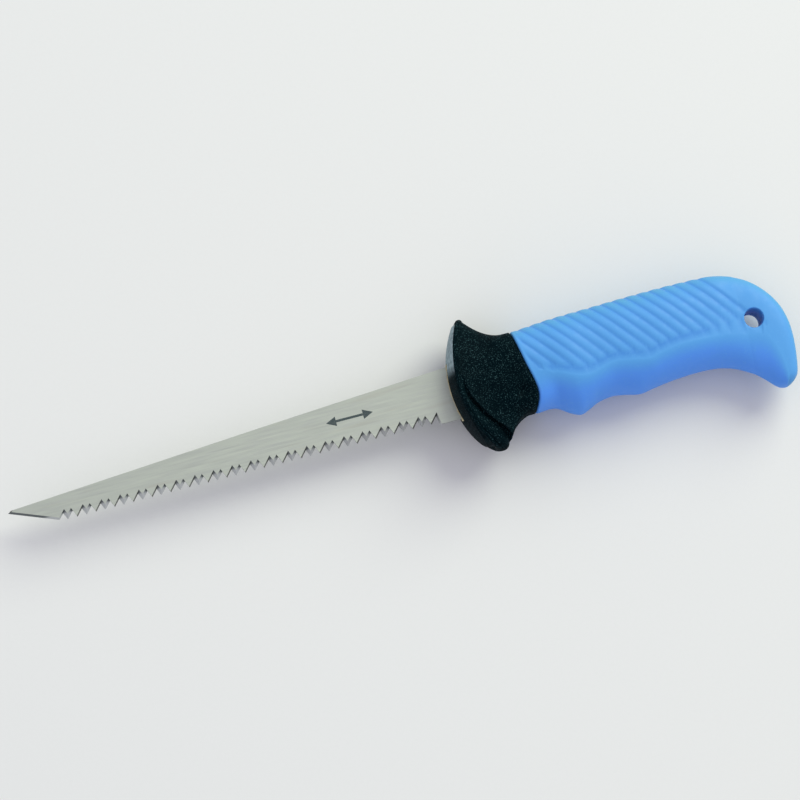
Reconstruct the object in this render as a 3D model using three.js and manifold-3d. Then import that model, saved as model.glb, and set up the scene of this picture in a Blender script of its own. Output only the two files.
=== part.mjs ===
// Drywall saw (jab saw), millimetres, +Z up, lying on its side.
// +X runs from the blade's point to the pommel, +Y towards the blade's spine, and Z is the thickness.
// The parts are modelled with X = 0 where the blade enters the guard, Y = 0 on the line of the tooth tips
// and Z = 0 in the blade's mid-plane. The outer group then moves them so that the origin is the middle of
// the bounding box's bottom face.
import * as THREE from 'three';
import { mergeVertices } from 'three/addons/utils/BufferGeometryUtils.js';
import Module from 'manifold-3d';

// Gap between touching pieces.
const GAP = 0.3;

// Blade.
const BLADE_THICKNESS = 1.25;
const BLADE_LENGTH = 153.7;
const TOOTH_PITCH = 3.175;
const TOOTH_COUNT = 40;
const TOOTH_DEPTH = 2.4;
const TOOTH_LEAN = 0.55;
const FIRST_TOOTH = -135.1;
const HEEL_START = -8.6;
const TIP_HEIGHT = 6.7;
const TIP_EDGE_HEIGHT = 0.75;
const TOE_CORNER = -137.9;
const TOE_CORNER_HEIGHT = 0.5;
const SPINE_BEND = { x: -66, y: 13.3 };
const SPINE_AT_GUARD = 17.4;
const TIP_BEVEL_WIDTH = 1.4;
const TIP_BEVEL_EDGE = 0.25;

// Tang, the blade's narrower tail inside the handle.
const TANG_LENGTH = 62;
const TANG_BOTTOM = 3;
const TANG_TOP = 15;
const TANG_SHOULDER = 9;

// Pins through the tang.
const PIN_RADIUS = 2;
const PIN_HALF_LENGTH = 5.5;
const PIN_PLACES = [30, 52];
const PIN_HEIGHT = 9;

// Core, in two halves that meet on the mid-plane.
const CORE_START = 8;
const CORE_END = 88;
const CORE_BOTTOM = -1.2;
const CORE_TOP = 18.8;
const CORE_HALF_WIDTH = 6.2;
const CORE_CORNER = 3;

// Guard: an oval flange bent back on an arc, and a sleeve that the grip carries on.
const AXIS_HEIGHT = 9;
const FLANGE_FRONT = -2.4;
const FLANGE_ARC_ABOVE = 38;
const FLANGE_ARC_BELOW = 34;
const FLANGE_ABOVE = 22.4;
const FLANGE_BELOW = 23.3;
const FLANGE_HALF_WIDTH = 12.6;
const FLANGE_SQUARENESS = 2.15;
const FLANGE_DOME = 1.4;
const FLANGE_LAND = 12.2;
const SLEEVE_ABOVE = 14;
const SLEEVE_BELOW = 14;
const SLEEVE_HALF_WIDTH = 10;
const SLEEVE_SQUARENESS = 2.7;
const SLOT_WIDTH = 2.2;
const SLOT_BOTTOM = -1.6;
const SLOT_TOP = 18.2;
const SLOT_DEPTH = 12;
const DIMPLE = { x: 20.2, y: 2.9, depth: 1.7, length: 3.2, height: 1.9 };

// Sealant bead in the slot's mouth.
const SEALANT_DEPTH = 1.5;
const SEALANT_PROUD = 0.3;
const SEALANT_STEPS = 12;

// Grip.
const UPPER_SQUARENESS = 3;
const UNDERSIDE_SQUARENESS = 1.7;
const POMMEL_SQUARENESS = 4.5;
const HOOK_SQUARENESS = 3;
const SIDE_BAND = 1.6;
const SETTLE_LENGTH = 10;
const HOOK_TIP_START = 0.82;
const POMMEL_CROWDING = 1.25;
const POMMEL_START = 97;
const POMMEL_HALF_WIDTH = 7.8;
const JOINT_FADE = 14;
const HOLE_X = 100.5;
const HOLE_Y = 6.5;
const HOLE_RADIUS = 3.25;
const HOLE_CHAMFER = 0.7;

// Knots (x, y) of the curves that change along the handle, read by `along`.
const GRIP_TOP = [
  [21, 22.8], [26, 23.2], [34, 23.8], [50, 24.3], [66, 24.7], [82, 24.7], [89, 24.3], [93, 23.6], [97, 22.4],
];
const GRIP_BOTTOM = [
  [21, -5.1], [27, -4.9], [30.5, -5.7], [34.5, -8.1], [37.6, -9.3], [40.6, -8.3], [44, -6.8], [49, -6],
  [53, -6.5], [58.4, -7.6], [63, -6.9], [70, -6], [79, -5.5], [86, -6], [91.5, -7.7], [97, -10.9],
];
const GRIP_HALF_WIDTH = [
  [21, 10], [30, 10.5], [38, 11.2], [48, 10.7], [60, 11], [76, 10.6], [88, 9.2], [97, POMMEL_HALF_WIDTH],
];

// Height at which the ribbed side ends; the side turns under a little below it.
const GRIP_EDGE = [
  [21, 8.2], [28, 7.2], [33, 6.4], [38, 4.2], [42, 3.4], [46, 4.2], [51, 5.4], [57, 4.6], [63, 3.5],
  [67, 4.4], [74, 5.5], [88, 5.3], [92, 4.7], [97, 3.5],
];
const JOINT_LINE = [[-8, 22.6], [-5, 23.3], [-1.5, 24.5], [2, 24.7], [11.6, 22.7], [20.6, 21.4], [25, 21.2]];

// Pommel: outer outline, inner outline and the line where its side turns under, down to the hook's tip.
const POMMEL_OUTER = [
  [97, 22.4], [102.3, 19.5], [107, 15], [110.4, 9.6], [112, 4], [112.32, -1], [111.9, -6.5], [111.1, -11.5],
  [110.3, -14.4], [109.2, -15.8], [107.6, -17], [106, -17.6],
];
const POMMEL_INNER = [
  [97, -10.9], [98.9, -12.6], [100.6, -14.3], [102.2, -16], [103.6, -17.1], [104.8, -17.5], [106, -17.6],
];
const POMMEL_EDGE = [
  [97, 3.5], [100.5, 2.2], [103.6, -0.6], [105.6, -4.5], [106.6, -8.5], [107, -12.2], [106.9, -15],
  [106, -17.6],
];
const POMMEL_THINNING = [[0, 7.8], [0.3, 7.5], [0.6, 6.8], [0.85, 5.8]];

// Flange and sleeve by angle about the handle's axis, in degrees from +Y (the top) to -Y (the bottom).
const RIM_THICKNESS = [[0, 2.6], [25, 2], [50, 1.5], [108, 1.5], [140, 2.9], [156, 4.7], [168, 5.2], [180, 5]];
const RIM_ROUNDING = [[0, 1.25], [30, 0.7], [140, 0.7], [165, 1.6], [180, 2.2]];
const FILLET_LENGTH = [[0, 12], [84, 12], [120, 10], [150, 8], [168, 8], [180, 10.5]];
const CREASE_DEPTH = [
  [0, 0], [74, 0], [84, 0.3], [112, 1.5], [138, 2.3], [160, 2.8], [168, 1.5], [174, 0], [180, 0],
];
const CREASE_WIDTH = [[0, 0], [70, 0], [80, 1.4], [110, 1.9], [145, 3.4], [162, 3.2], [174, 0.5], [180, 0]];
const CREASE_LEAST_WIDTH = 0.1;

// Mesh fineness.
const GUARD_ANGLES = 56;
const FRONT_STEPS = [0.4, 0.7, 0.9];
const CREASE_STEPS = [0, 0.25, 0.5, 0.75, 1];
const FILLET_STEPS = [0.15, 0.35, 0.6, 1];
const SLEEVE_STEPS = [0.3, 0.65, 1];
const ROUND_IN = 1 - Math.SQRT1_2;
const GRIP_STATIONS = 36;
const POMMEL_STATIONS = 16;
const HALF_SECTION_STEPS = 14;
const HOLE_SEGMENTS = 32;
const PIN_SEGMENTS = 24;

const wasm = await Module();
wasm.setup();

// A smooth curve through sorted knots, read at x. The slope at a knot is the one between its neighbours.
function along(knots, x) {
  const last = knots.length - 1;
  const at = THREE.MathUtils.clamp(x, knots[0][0], knots[last][0]);
  let i = 0;
  while (i < last - 1 && at > knots[i + 1][0]) {
    i += 1;
  }
  const slope = (k) => {
    const before = knots[Math.max(k - 1, 0)];
    const after = knots[Math.min(k + 1, last)];
    return (after[1] - before[1]) / (after[0] - before[0]);
  };
  const [x0, y0] = knots[i];
  const [x1, y1] = knots[i + 1];
  const span = x1 - x0;
  const t = (at - x0) / span;
  const start = y0 * (1 + 2 * t) * (1 - t) ** 2 + slope(i) * span * t * (1 - t) ** 2;
  const end = y1 * t * t * (3 - 2 * t) + slope(i + 1) * span * t * t * (t - 1);
  return start + end;
}

// Radius, at an angle from +Y, of an oval that has its own reach above, below and to each side.
function ovalRadius(angle, above, below, halfWidth, squareness) {
  const vertical = Math.cos(angle) > 0 ? above : below;
  const y = Math.abs(Math.cos(angle)) / vertical;
  const z = Math.abs(Math.sin(angle)) / halfWidth;
  return (y ** squareness + z ** squareness) ** (-1 / squareness);
}

// One closed surface through rings of equally many points, with a fan over each end ring.
function loft(rings) {
  const count = rings[0].length;
  const points = rings.flat();
  const middle = (ring) => ring.reduce((sum, p) => sum.add(p), new THREE.Vector3()).divideScalar(count);
  points.push(middle(rings[0]), middle(rings[rings.length - 1]));
  const startCentre = points.length - 2;
  const endCentre = points.length - 1;
  const lastRing = (rings.length - 1) * count;
  const index = [];
  for (let j = 0; j < count; j += 1) {
    const next = (j + 1) % count;
    index.push(startCentre, next, j);
    index.push(endCentre, lastRing + j, lastRing + next);
    for (let i = 0; i < rings.length - 1; i += 1) {
      const a = i * count + j;
      const b = i * count + next;
      index.push(a, b, b + count);
      index.push(a, b + count, a + count);
    }
  }
  const geometry = new THREE.BufferGeometry().setFromPoints(points);
  geometry.setIndex(index);
  return geometry;
}

// A three.js geometry as a solid, with its shared vertices merged and its collapsed triangles dropped.
function solid(geometry) {
  const bare = geometry.clone();
  bare.deleteAttribute('normal');
  bare.deleteAttribute('uv');
  const merged = mergeVertices(bare, 1e-4);
  const index = Array.from(merged.index.array);
  const kept = [];
  for (let i = 0; i < index.length; i += 3) {
    const [a, b, c] = index.slice(i, i + 3);
    if (a !== b && b !== c && c !== a) {
      kept.push(a, b, c);
    }
  }
  return new wasm.Manifold(new wasm.Mesh({
    numProp: 3,
    vertProperties: new Float32Array(merged.attributes.position.array),
    triVerts: new Uint32Array(kept),
  }));
}

function geometryOf(manifold) {
  const mesh = manifold.getMesh();
  const geometry = new THREE.BufferGeometry();
  geometry.setAttribute('position', new THREE.BufferAttribute(mesh.vertProperties, 3));
  geometry.setIndex(new THREE.BufferAttribute(mesh.triVerts, 1));
  geometry.computeVertexNormals();
  return geometry;
}

// A box given by its lowest and highest corners.
function boxBetween(low, high) {
  const size = new THREE.Vector3().subVectors(high, low);
  const middle = new THREE.Vector3().addVectors(low, high).multiplyScalar(0.5);
  return new THREE.BoxGeometry(size.x, size.y, size.z).translate(middle.x, middle.y, middle.z);
}

// A cylinder along Z.
function post(x, y, radius, low, high, segments) {
  const cylinder = new THREE.CylinderGeometry(radius, radius, high - low, segments);
  return cylinder.rotateX(Math.PI / 2).translate(x, y, (low + high) / 2);
}

// A flat outline in the XY plane given thickness from `low` to `high`.
function slab(shape, low, high) {
  return new THREE.ExtrudeGeometry(shape, { depth: high - low, bevelEnabled: false }).translate(0, 0, low);
}

// A rectangle with rounded corners in the YZ plane, run along X.
function roundedBar(startX, endX, bottom, top, halfWidth, corner) {
  const shape = new THREE.Shape();
  const w = halfWidth;
  shape.moveTo(-w + corner, bottom);
  shape.lineTo(w - corner, bottom);
  shape.absarc(w - corner, bottom + corner, corner, -Math.PI / 2, 0);
  shape.lineTo(w, top - corner);
  shape.absarc(w - corner, top - corner, corner, 0, Math.PI / 2);
  shape.lineTo(-w + corner, top);
  shape.absarc(-w + corner, top - corner, corner, Math.PI / 2, Math.PI);
  shape.lineTo(-w, bottom + corner);
  shape.absarc(-w + corner, bottom + corner, corner, Math.PI, Math.PI * 1.5);
  const bar = new THREE.ExtrudeGeometry(shape, { depth: endX - startX, bevelEnabled: false, curveSegments: 4 });
  const axes = new THREE.Matrix4().makeBasis(
    new THREE.Vector3(0, 0, 1),
    new THREE.Vector3(0, 1, 0),
    new THREE.Vector3(-1, 0, 0),
  );
  return bar.applyMatrix4(axes.invert()).translate(startX, 0, 0);
}

// The blade's side outline: spine, point, toe, teeth, heel and tang.
function bladeShape() {
  const shape = new THREE.Shape();
  shape.moveTo(-BLADE_LENGTH, TIP_HEIGHT);
  shape.lineTo(TOE_CORNER, TOE_CORNER_HEIGHT);
  for (let i = 0; i < TOOTH_COUNT; i += 1) {
    const x = FIRST_TOOTH + i * TOOTH_PITCH;
    shape.lineTo(x - TOOTH_PITCH / 2 + TOOTH_LEAN, TOOTH_DEPTH);
    shape.lineTo(x, 0);
  }
  const lastGullet = FIRST_TOOTH + (TOOTH_COUNT - 0.5) * TOOTH_PITCH + TOOTH_LEAN;
  shape.lineTo(lastGullet, TOOTH_DEPTH);
  shape.lineTo(HEEL_START, -TIP_EDGE_HEIGHT);
  shape.lineTo(TANG_SHOULDER, -TIP_EDGE_HEIGHT);
  shape.lineTo(TANG_SHOULDER, TANG_BOTTOM);
  shape.lineTo(TANG_LENGTH, TANG_BOTTOM);
  shape.lineTo(TANG_LENGTH, TANG_TOP);
  shape.lineTo(TANG_SHOULDER, TANG_TOP);
  shape.lineTo(TANG_SHOULDER, SPINE_AT_GUARD);
  shape.lineTo(0, SPINE_AT_GUARD);
  shape.lineTo(SPINE_BEND.x, SPINE_BEND.y);
  shape.lineTo(1.2 - BLADE_LENGTH, TIP_HEIGHT + TIP_EDGE_HEIGHT);
  return shape;
}

// A wedge that grinds one side of the point's lower edge, from the point to the toe.
function tipBevel(side) {
  const start = new THREE.Vector2(-BLADE_LENGTH, TIP_HEIGHT);
  const end = new THREE.Vector2(TOE_CORNER, TOE_CORNER_HEIGHT);
  const run = end.clone().sub(start);
  const angle = run.angle();
  const half = BLADE_THICKNESS / 2;
  const spare = 1;
  const section = new THREE.Shape();
  section.moveTo(-spare, TIP_BEVEL_EDGE - (half - TIP_BEVEL_EDGE) * spare / TIP_BEVEL_WIDTH);
  section.lineTo(TIP_BEVEL_WIDTH + spare, half + (half - TIP_BEVEL_EDGE) * spare / TIP_BEVEL_WIDTH);
  section.lineTo(-spare, half + spare);
  const length = run.length() + 2 * spare;
  const wedge = new THREE.ExtrudeGeometry(section, { depth: length, bevelEnabled: false });
  wedge.translate(0, 0, -spare);
  const axes = new THREE.Matrix4().makeBasis(
    new THREE.Vector3(-Math.sin(angle), Math.cos(angle), 0),
    new THREE.Vector3(0, 0, side),
    new THREE.Vector3(Math.cos(angle) * side, Math.sin(angle) * side, 0),
  );
  wedge.applyMatrix4(axes);
  const from = side > 0 ? start : end;
  return wedge.translate(from.x, from.y, 0);
}

function makeBlade() {
  const half = BLADE_THICKNESS / 2;
  let blade = solid(slab(bladeShape(), -half, half));
  for (const x of PIN_PLACES) {
    blade = blade.subtract(solid(post(x, PIN_HEIGHT, PIN_RADIUS + GAP, -half - 1, half + 1, PIN_SEGMENTS)));
  }
  blade = blade.subtract(solid(tipBevel(1)));
  blade = blade.subtract(solid(tipBevel(-1)));
  return geometryOf(blade);
}

// One half of the core: a bar on one side of the mid-plane with a recess for the tang and two pin holes.
function makeCoreHalf(side) {
  const w = CORE_HALF_WIDTH;
  let half = solid(roundedBar(CORE_START, CORE_END, CORE_BOTTOM, CORE_TOP, w, CORE_CORNER));
  const inner = side * GAP / 2;
  const outer = side * (w + 1);
  half = half.intersect(solid(boxBetween(
    new THREE.Vector3(CORE_START - 1, CORE_BOTTOM - 1, Math.min(inner, outer)),
    new THREE.Vector3(CORE_END + 1, CORE_TOP + 1, Math.max(inner, outer)),
  )));
  const recess = BLADE_THICKNESS / 2 + GAP;
  half = half.subtract(solid(boxBetween(
    new THREE.Vector3(CORE_START - 1, TANG_BOTTOM - GAP, -recess),
    new THREE.Vector3(TANG_LENGTH + GAP, TANG_TOP + GAP, recess),
  )));
  half = half.subtract(solid(boxBetween(
    new THREE.Vector3(CORE_START - 1, CORE_BOTTOM - 1, -recess),
    new THREE.Vector3(TANG_SHOULDER + GAP, CORE_TOP + 1, recess),
  )));
  for (const x of PIN_PLACES) {
    half = half.subtract(solid(post(x, PIN_HEIGHT, PIN_RADIUS + GAP, -w - 1, w + 1, PIN_SEGMENTS)));
  }
  return geometryOf(half);
}

function makePin(x) {
  return post(x, PIN_HEIGHT, PIN_RADIUS, -PIN_HALF_LENGTH, PIN_HALF_LENGTH, PIN_SEGMENTS);
}

// How far back the flange's front face lies at (y, z).
function flangeFront(y, z) {
  const rise = y - AXIS_HEIGHT;
  const arc = rise > 0 ? FLANGE_ARC_ABOVE : FLANGE_ARC_BELOW;
  const sweep = arc - Math.sqrt(arc ** 2 - rise ** 2);
  return FLANGE_FRONT + sweep + FLANGE_DOME * (z / FLANGE_HALF_WIDTH) ** 2;
}

// The guard's rings, from the middle of its front face over the rim and down the sleeve to the grip.
function guardRings() {
  const places = [];
  for (let j = 0; j < GUARD_ANGLES; j += 1) {
    const angle = j / GUARD_ANGLES * 2 * Math.PI;
    const degrees = THREE.MathUtils.radToDeg(Math.min(angle, 2 * Math.PI - angle));
    const rim = ovalRadius(angle, FLANGE_ABOVE, FLANGE_BELOW, FLANGE_HALF_WIDTH, FLANGE_SQUARENESS);
    const sleeve = ovalRadius(angle, SLEEVE_ABOVE, SLEEVE_BELOW, SLEEVE_HALF_WIDTH, SLEEVE_SQUARENESS);
    const outward = new THREE.Vector3(0, Math.cos(angle), Math.sin(angle));
    const at = (x, radius) => outward.clone().multiplyScalar(radius).add(new THREE.Vector3(x, AXIS_HEIGHT, 0));
    const face = (radius) => flangeFront(AXIS_HEIGHT + outward.y * radius, outward.z * radius);
    const front = face(rim);
    const rounding = along(RIM_ROUNDING, degrees);
    const back = front + along(RIM_THICKNESS, degrees);
    const shoulder = rim - rounding;
    const profile = FRONT_STEPS.map((step) => at(face(step * shoulder), step * shoulder));
    profile.push(at(front, shoulder));
    profile.push(at(front + rounding * ROUND_IN, rim - rounding * ROUND_IN));
    profile.push(at(front + rounding, rim));
    profile.push(at(back - rounding, rim));
    profile.push(at(back - rounding * ROUND_IN, rim - rounding * ROUND_IN));
    const length = along(FILLET_LENGTH, degrees);
    const width = Math.max(along(CREASE_WIDTH, degrees), CREASE_LEAST_WIDTH);
    const depth = Math.max(along(CREASE_DEPTH, degrees), 0);
    CREASE_STEPS.forEach((step) => {
      profile.push(at(back + step * width, shoulder - depth * Math.sin(Math.PI * step) ** 2));
    });
    FILLET_STEPS.forEach((step) => {
      profile.push(at(back + width + length * step, sleeve + (shoulder - sleeve) * (1 - step) ** 2));
    });
    const end = along(JOINT_LINE, AXIS_HEIGHT + outward.y * sleeve) - GAP / 2;
    SLEEVE_STEPS.forEach((step) => {
      profile.push(at(THREE.MathUtils.lerp(back + width + length, end, step), sleeve));
    });
    profile.forEach(pressDimple);
    places.push(profile);
  }
  return places[0].map((_, k) => places.map((profile) => profile[k]));
}

// Moves a point of the sleeve's side inwards where the finger dimple is.
function pressDimple(point) {
  const across = (point.x - DIMPLE.x) / DIMPLE.length;
  const upward = (point.y - DIMPLE.y) / DIMPLE.height;
  const outside = THREE.MathUtils.smoothstep(Math.abs(point.z), 6, 9);
  point.z -= Math.sign(point.z) * outside * DIMPLE.depth * Math.exp(-(across ** 2) - upward ** 2);
}

function makeGuard() {
  let guard = solid(loft(guardRings()));
  const far = 40;
  guard = guard.intersect(solid(boxBetween(
    new THREE.Vector3(-far, -far, -FLANGE_LAND),
    new THREE.Vector3(far, far, FLANGE_LAND),
  )));
  guard = guard.subtract(solid(boxBetween(
    new THREE.Vector3(-far, SLOT_BOTTOM, -SLOT_WIDTH / 2),
    new THREE.Vector3(SLOT_DEPTH, SLOT_TOP, SLOT_WIDTH / 2),
  )));
  guard = guard.subtract(solid(corePocket()));
  return geometryOf(guard);
}

// The space that the core takes inside the guard and the grip.
function corePocket() {
  return roundedBar(
    CORE_START - GAP,
    CORE_END + GAP,
    CORE_BOTTOM - GAP,
    CORE_TOP + GAP,
    CORE_HALF_WIDTH + GAP,
    CORE_CORNER + GAP,
  );
}

// Half of a cross-section, from -Z on the middle line over an outline point to +Z.
function halfSection(outline, middle, halfWidth, squareness) {
  const points = [];
  for (let k = 0; k <= HALF_SECTION_STEPS; k += 1) {
    const angle = k / HALF_SECTION_STEPS * Math.PI;
    const out = Math.sin(angle) ** (2 / squareness);
    const up = -Math.sign(Math.cos(angle)) * Math.abs(Math.cos(angle)) ** (2 / squareness);
    const flat = new THREE.Vector2().lerpVectors(middle, outline, out);
    points.push(new THREE.Vector3(flat.x, flat.y, up * halfWidth));
  }
  return points;
}

// A full ring from a pair of outline points, above and below the same middle point.
function gripRing(above, below, middle, halfWidth, squareness) {
  const upper = halfSection(above, middle, halfWidth, squareness.upper);
  const lower = halfSection(below, middle, halfWidth, squareness.lower).reverse();
  return upper.slice(0, -1).concat(lower.slice(0, -1));
}

// The grip's cross-section at x, bent at its front end to follow the joint with the guard.
function gripStation(x) {
  const { lerp, smoothstep } = THREE.MathUtils;
  const start = GRIP_TOP[0][0];
  const settle = smoothstep(x, start, start + SETTLE_LENGTH);
  const blend = smoothstep(x, POMMEL_START - 17, POMMEL_START);
  const squareness = {
    upper: lerp(UPPER_SQUARENESS, POMMEL_SQUARENESS, blend),
    lower: lerp(SLEEVE_SQUARENESS, UNDERSIDE_SQUARENESS, settle),
  };
  const above = new THREE.Vector2(x, along(GRIP_TOP, x));
  const below = new THREE.Vector2(x, along(GRIP_BOTTOM, x));
  const middle = new THREE.Vector2(x, lerp(AXIS_HEIGHT, along(GRIP_EDGE, x) - SIDE_BAND, settle));
  const ring = gripRing(above, below, middle, along(GRIP_HALF_WIDTH, x), squareness);
  const fade = 1 - smoothstep(x, start, start + JOINT_FADE);
  ring.forEach((point) => {
    point.x += (along(JOINT_LINE, point.y) + GAP / 2 - start) * fade;
  });
  return ring;
}

function curveThrough(knots) {
  return new THREE.SplineCurve(knots.map(([x, y]) => new THREE.Vector2(x, y)));
}

// The pommel's cross-sections, fanned from the grip's end to the hook's tip.
function pommelRings() {
  const { lerp, smoothstep } = THREE.MathUtils;
  const outer = curveThrough(POMMEL_OUTER);
  const inner = curveThrough(POMMEL_INNER);
  const edge = curveThrough(POMMEL_EDGE);
  const rings = [];
  for (let i = 0; i <= POMMEL_STATIONS; i += 1) {
    const t = 1 - (1 - i / POMMEL_STATIONS) ** POMMEL_CROWDING;
    const tip = Math.max(0, (t - HOOK_TIP_START) / (1 - HOOK_TIP_START));
    const halfWidth = along(POMMEL_THINNING, t) * Math.sqrt(1 - tip ** 2);
    const squareness = {
      upper: lerp(POMMEL_SQUARENESS, HOOK_SQUARENESS, t),
      lower: UNDERSIDE_SQUARENESS + 0.3 * t,
    };
    const middle = edge.getPointAt(t);
    middle.y -= SIDE_BAND * (1 - smoothstep(t, 0, 0.35));
    rings.push(gripRing(outer.getPointAt(t), inner.getPointAt(t), middle, halfWidth, squareness));
  }
  return rings;
}

function gripRings() {
  const start = GRIP_TOP[0][0];
  const rings = [];
  for (let i = 0; i < GRIP_STATIONS; i += 1) {
    rings.push(gripStation(start + (POMMEL_START - start) * i / GRIP_STATIONS));
  }
  return rings.concat(pommelRings());
}

// The hang hole's cutter: a post that flares at both faces of the pommel.
function holeCutter() {
  const face = POMMEL_HALF_WIDTH - HOLE_CHAMFER;
  const outside = POMMEL_HALF_WIDTH + 2;
  const flare = HOLE_RADIUS + HOLE_CHAMFER + 2;
  const profile = [
    [0, -outside], [flare, -outside], [HOLE_RADIUS, -face],
    [HOLE_RADIUS, face], [flare, outside], [0, outside],
  ].map(([r, h]) => new THREE.Vector2(r, h));
  return new THREE.LatheGeometry(profile, HOLE_SEGMENTS).rotateX(Math.PI / 2).translate(HOLE_X, HOLE_Y, 0);
}

function makeGrip() {
  let grip = solid(loft(gripRings()));
  grip = grip.subtract(solid(corePocket()));
  grip = grip.subtract(solid(holeCutter()));
  return geometryOf(grip);
}

// Two beads joined below the blade, in the mouth of the guard's slot, that follow the flange's front face.
function makeSealant() {
  const clear = 0.15;
  const outer = SLOT_WIDTH / 2 - clear;
  const inner = BLADE_THICKNESS / 2 + clear;
  const bottom = SLOT_BOTTOM + clear;
  const top = SLOT_TOP - clear;
  const front = (y) => flangeFront(y, outer) - SEALANT_PROUD;
  const shape = new THREE.Shape();
  shape.moveTo(front(bottom), bottom);
  for (let k = 1; k <= SEALANT_STEPS; k += 1) {
    const y = bottom + (top - bottom) * k / SEALANT_STEPS;
    shape.lineTo(front(y), y);
  }
  for (let k = SEALANT_STEPS; k >= 0; k -= 1) {
    const y = bottom + (top - bottom) * k / SEALANT_STEPS;
    shape.lineTo(front(y) + SEALANT_DEPTH, y);
  }
  let bead = solid(slab(shape, -outer, outer));
  bead = bead.subtract(solid(boxBetween(
    new THREE.Vector3(FLANGE_FRONT - 2, -TIP_EDGE_HEIGHT - clear, -inner),
    new THREE.Vector3(SLOT_DEPTH, SLOT_TOP + 1, inner),
  )));
  return geometryOf(bead);
}

const steel = new THREE.MeshStandardMaterial({ color: 0xb4bab0, roughness: 0.35, metalness: 1 });
const blackPlastic = new THREE.MeshStandardMaterial({ color: 0x1c2326, roughness: 0.55, metalness: 0 });
const blueRubber = new THREE.MeshStandardMaterial({ color: 0x3f86dc, roughness: 0.7, metalness: 0 });
const corePlastic = new THREE.MeshStandardMaterial({ color: 0x2a2c2e, roughness: 0.6, metalness: 0 });
const pinSteel = new THREE.MeshStandardMaterial({ color: 0xa6aaac, roughness: 0.4, metalness: 1 });
const sealantResin = new THREE.MeshStandardMaterial({ color: 0xb59a55, roughness: 0.5, metalness: 0 });

function addMesh(group, name, geometry, material) {
  const mesh = new THREE.Mesh(geometry, material);
  mesh.name = name;
  group.add(mesh);
}

const parts = new THREE.Group();
addMesh(parts, 'blade', makeBlade(), steel);
addMesh(parts, 'guard', makeGuard(), blackPlastic);
addMesh(parts, 'grip', makeGrip(), blueRubber);
addMesh(parts, 'core_left', makeCoreHalf(1), corePlastic);
addMesh(parts, 'core_right', makeCoreHalf(-1), corePlastic);
addMesh(parts, 'tang_pin_front', makePin(PIN_PLACES[0]), pinSteel);
addMesh(parts, 'tang_pin_rear', makePin(PIN_PLACES[1]), pinSteel);
addMesh(parts, 'slot_sealant', makeSealant(), sealantResin);

// Put the origin in the middle of the bounding box's bottom face.
const bounds = new THREE.Box3().setFromObject(parts);
const centre = bounds.getCenter(new THREE.Vector3());
parts.position.set(-centre.x, -centre.y, -bounds.min.z);

const saw = new THREE.Group();
saw.add(parts);
export default saw;
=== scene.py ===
"""Drywall saw: the looks of a jab saw with a toothed steel blade, a black guard and a ribbed blue grip.

The saw lies on its side. Shapes are worked out in the saw's own frame, in millimetres: X = 0 where the blade
enters the guard, Y = 0 on the line of the tooth tips and Z = 0 in the blade's mid-plane, with +X towards the
pommel and +Y towards the blade's spine. `to_frame` turns them into metres in the CAD's frame.
"""
import math

import bmesh
import bpy
import numpy as np
from mathutils import Matrix, Vector


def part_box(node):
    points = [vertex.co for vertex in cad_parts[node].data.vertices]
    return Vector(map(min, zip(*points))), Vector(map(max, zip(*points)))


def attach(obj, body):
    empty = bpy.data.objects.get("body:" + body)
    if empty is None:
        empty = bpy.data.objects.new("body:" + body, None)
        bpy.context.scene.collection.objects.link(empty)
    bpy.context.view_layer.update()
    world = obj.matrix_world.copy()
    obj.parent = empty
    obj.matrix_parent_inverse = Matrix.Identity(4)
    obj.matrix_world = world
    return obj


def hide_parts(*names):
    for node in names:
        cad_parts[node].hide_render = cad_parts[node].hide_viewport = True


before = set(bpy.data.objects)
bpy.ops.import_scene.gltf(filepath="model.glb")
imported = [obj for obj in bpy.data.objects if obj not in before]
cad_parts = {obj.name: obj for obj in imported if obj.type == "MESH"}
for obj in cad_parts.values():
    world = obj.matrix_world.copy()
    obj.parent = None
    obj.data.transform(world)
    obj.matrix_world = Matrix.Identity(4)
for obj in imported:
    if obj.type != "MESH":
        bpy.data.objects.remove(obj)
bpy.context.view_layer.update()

MM = 0.001

# The saw's own frame inside the CAD's: the point is the blade's lowest X and the heel its lowest Y.
BLADE_LOW, BLADE_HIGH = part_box("blade")
BLADE_LENGTH = 153.7
HEEL_DROP = 0.75
ORIGIN = Vector((
    BLADE_LOW[0] + BLADE_LENGTH * MM,
    BLADE_LOW[1] + HEEL_DROP * MM,
    (BLADE_LOW[2] + BLADE_HIGH[2]) / 2,
))

# Blade.
THICKNESS = 1.25
PITCH = 3.175
TEETH = 40
TOOTH_DEPTH = 2.4
TOOTH_LEAN = 0.55
FIRST_TOOTH = -135.1
TOOTH_SET = 0.16
POINT = (-153.7, 6.7)
POINT_TOP = (-152.5, 7.45)
TOE = (-137.9, 0.5)
HEEL_X = -8.6
SPINE_BEND = (-66.0, 13.3)
SPINE_AT_GUARD = (0.0, 17.4)
TANG_END = 9.0

# How far each edge of the blade's faces is cut back. A tooth is ground on one side, by FLEAM on both flanks,
# and has a smaller bevel on the other side of its trailing flank.
TIP_BEVEL = 0.65
POINT_END_BEVEL = 0.35
TOE_BEVEL = 0.4
FLEAM = 0.92
BACK_FLEAM = 0.42
LAST_GULLET_BEVEL = 0.6
HEEL_BEVEL = 0.14
PLAIN_BEVEL = 0.06
BLADE_SHARP_DEGREES = 12

# The outline's corners are numbered from the point (0) and the toe (1). Gullets and tips alternate from here.
FIRST_GULLET = 2

# Stroke arrow: its centre, half length, half width of the shaft, and length and half width of each head.
MARK_PLACE = (-37.0, 9.0)
MARK_HALF_LENGTH = 8.0
MARK_SHAFT = 0.4
MARK_HEAD = (3.4, 1.6)
MARK_SUNK = 0.02
MARK_PROUD = 0.012
MARK_SHARP_DEGREES = 30

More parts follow.
